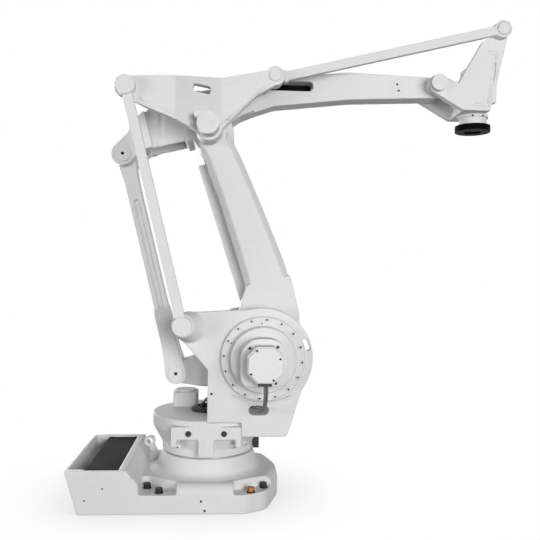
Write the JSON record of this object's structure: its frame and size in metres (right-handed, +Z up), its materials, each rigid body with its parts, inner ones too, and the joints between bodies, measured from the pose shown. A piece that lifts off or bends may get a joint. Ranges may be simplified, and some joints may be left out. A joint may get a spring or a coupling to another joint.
{
  "type": "articulated robot arm",
  "caption": "Four-axis palletising robot arm with a parallel rod drive, two levelling rods that keep the wrist upright, and a turning disc for a gripper",
  "frame": {"origin": "where axis 1 meets the floor, in the middle of the underside of the base", "axes": "+X forward along the arm at rest, +Y to the side away from the levelling rods, +Z up"},
  "size_m": [2.4482, 1.24, 2.747],
  "materials": {
    "arm_paint": "satin off-white enamel on castings",
    "charcoal_paint": "matt charcoal powder coat",
    "black_steel": "black oxide steel",
    "dark_fastener": "dark phosphated steel",
    "bronze_bolt": "copper coloured passivated steel",
    "black_rubber": "matt black cable sheath",
    "bare_steel": "ground steel"
  },
  "bodies": {
    "base": {"base_casting": "arm_paint", "turning_ring": "bare_steel", "rear_cover_plate": "charcoal_paint", "cover_screws": "dark_fastener", "lifting_eye": "arm_paint", "side_plug": "arm_paint", "foundation_washers": "dark_fastener", "foundation_bolts": "dark_fastener", "foundation_bolt_bronze": "bronze_bolt"},
    "frame": {"frame_casting": "arm_paint", "skirt_plugs": "dark_fastener", "cable_entry_ring": "arm_paint", "axis1_motor": "arm_paint", "axis1_stop_block": "arm_paint", "rear_rod_lower_pin": "bare_steel", "axis2_gearbox": "arm_paint", "axis2_gearbox_bolts": "arm_paint", "axis2_motor_adaptor": "arm_paint", "axis2_motor": "arm_paint", "axis2_motor_cover": "arm_paint", "axis2_motor_plug": "dark_fastener", "axis3_gearbox": "arm_paint", "axis3_gearbox_bolts": "arm_paint", "axis3_motor_adaptor": "arm_paint", "axis3_motor": "arm_paint", "axis3_motor_cover": "arm_paint", "axis3_motor_plug": "dark_fastener", "motor_leads": "black_rubber"},
    "lower_arm": {"lower_arm_casting": "arm_paint", "cable_tray": "arm_paint", "elbow_shaft": "bare_steel"},
    "lever": {"lever_arm": "arm_paint", "shoulder_pin": "bare_steel"},
    "lever_pivot": {"lever_pin": "bare_steel", "lever_pin_covers": "arm_paint"},
    "parallel_rod": {"parallel_rod": "arm_paint"},
    "rear_rod": {"rear_levelling_rod": "arm_paint", "rear_rod_caps": "arm_paint"},
    "link_plate": {"link_plate": "arm_paint", "elbow_cap": "arm_paint", "link_rear_pin": "bare_steel", "link_front_pin": "arm_paint"},
    "upper_arm": {"upper_arm_casting": "arm_paint", "clevis_pin": "bare_steel", "clevis_covers": "arm_paint", "pad_screws": "dark_fastener"},
    "front_rod": {"front_levelling_rod": "arm_paint", "front_rod_collar": "arm_paint", "front_rod_cap": "arm_paint"},
    "tilt_house": {"tilt_house": "arm_paint", "wrist_shaft": "bare_steel", "wrist_caps": "arm_paint", "front_rod_pin": "bare_steel", "axis4_gearbox": "arm_paint", "axis4_motor": "arm_paint"},
    "turning_disc": {"turning_disc": "black_steel"}
  },
  "joints": [
    {"name": "axis_1", "type": "hinge", "parent": "base", "child": "frame", "pos_m": [0, 0, 0.25], "axis": [0, 0, 1], "range_deg": [-180, 180]},
    {"name": "axis_2", "type": "hinge", "parent": "frame", "child": "lower_arm", "pos_m": [0.3, 0, 0.8145], "axis": [0, 1, 0], "range_deg": [-28, 59]},
    {"name": "axis_3", "type": "hinge", "parent": "frame", "child": "lever", "pos_m": [0.3, 0, 0.8145], "axis": [0, 1, 0], "range_deg": [-6, 34]},
    {"name": "lever_pin_turn", "type": "hinge", "parent": "lever", "child": "lever_pivot", "pos_m": [-0.18515, 0, 0.69354], "axis": [0, 1, 0], "range_deg": [-34, 6]},
    {"name": "parallel_rod_turn", "type": "hinge", "parent": "lever_pivot", "child": "parallel_rod", "pos_m": [-0.18515, 0, 0.69354], "axis": [0, 1, 0], "range_deg": [-28, 59]},
    {"name": "rear_rod_turn", "type": "hinge", "parent": "frame", "child": "rear_rod", "pos_m": [-0.128, 0, 0.9925], "axis": [0, 1, 0], "range_deg": [-28, 59]},
    {"name": "link_level", "type": "hinge", "parent": "lower_arm", "child": "link_plate", "pos_m": [-0.00966, 0, 2.05648], "axis": [0, 1, 0], "range_deg": [-59, 28]},
    {"name": "elbow", "type": "hinge", "parent": "link_plate", "child": "upper_arm", "pos_m": [-0.00966, 0, 2.05648], "axis": [0, 1, 0], "range_deg": [-6, 34]},
    {"name": "front_rod_turn", "type": "hinge", "parent": "link_plate", "child": "front_rod", "pos_m": [0.35134, 0, 2.36848], "axis": [0, 1, 0], "range_deg": [-6, 34]},
    {"name": "wrist_level", "type": "hinge", "parent": "upper_arm", "child": "tilt_house", "pos_m": [1.30024, 0, 2.38307], "axis": [0, 1, 0], "range_deg": [-34, 6]},
    {"name": "axis_4", "type": "hinge", "parent": "tilt_house", "child": "turning_disc", "pos_m": [1.56024, 0, 2.13907], "axis": [0, 0, 1], "range_deg": [-300, 300]}
  ],
  "couplings": [
    {"joint": "lever_pin_turn", "follows": "axis_3", "ratio": -1},
    {"joint": "parallel_rod_turn", "follows": "axis_2", "ratio": 1},
    {"joint": "rear_rod_turn", "follows": "axis_2", "ratio": 1},
    {"joint": "link_level", "follows": "axis_2", "ratio": -1},
    {"joint": "elbow", "follows": "axis_3", "ratio": 1},
    {"joint": "front_rod_turn", "follows": "axis_3", "ratio": 1},
    {"joint": "wrist_level", "follows": "axis_3", "ratio": -1}
  ]
}
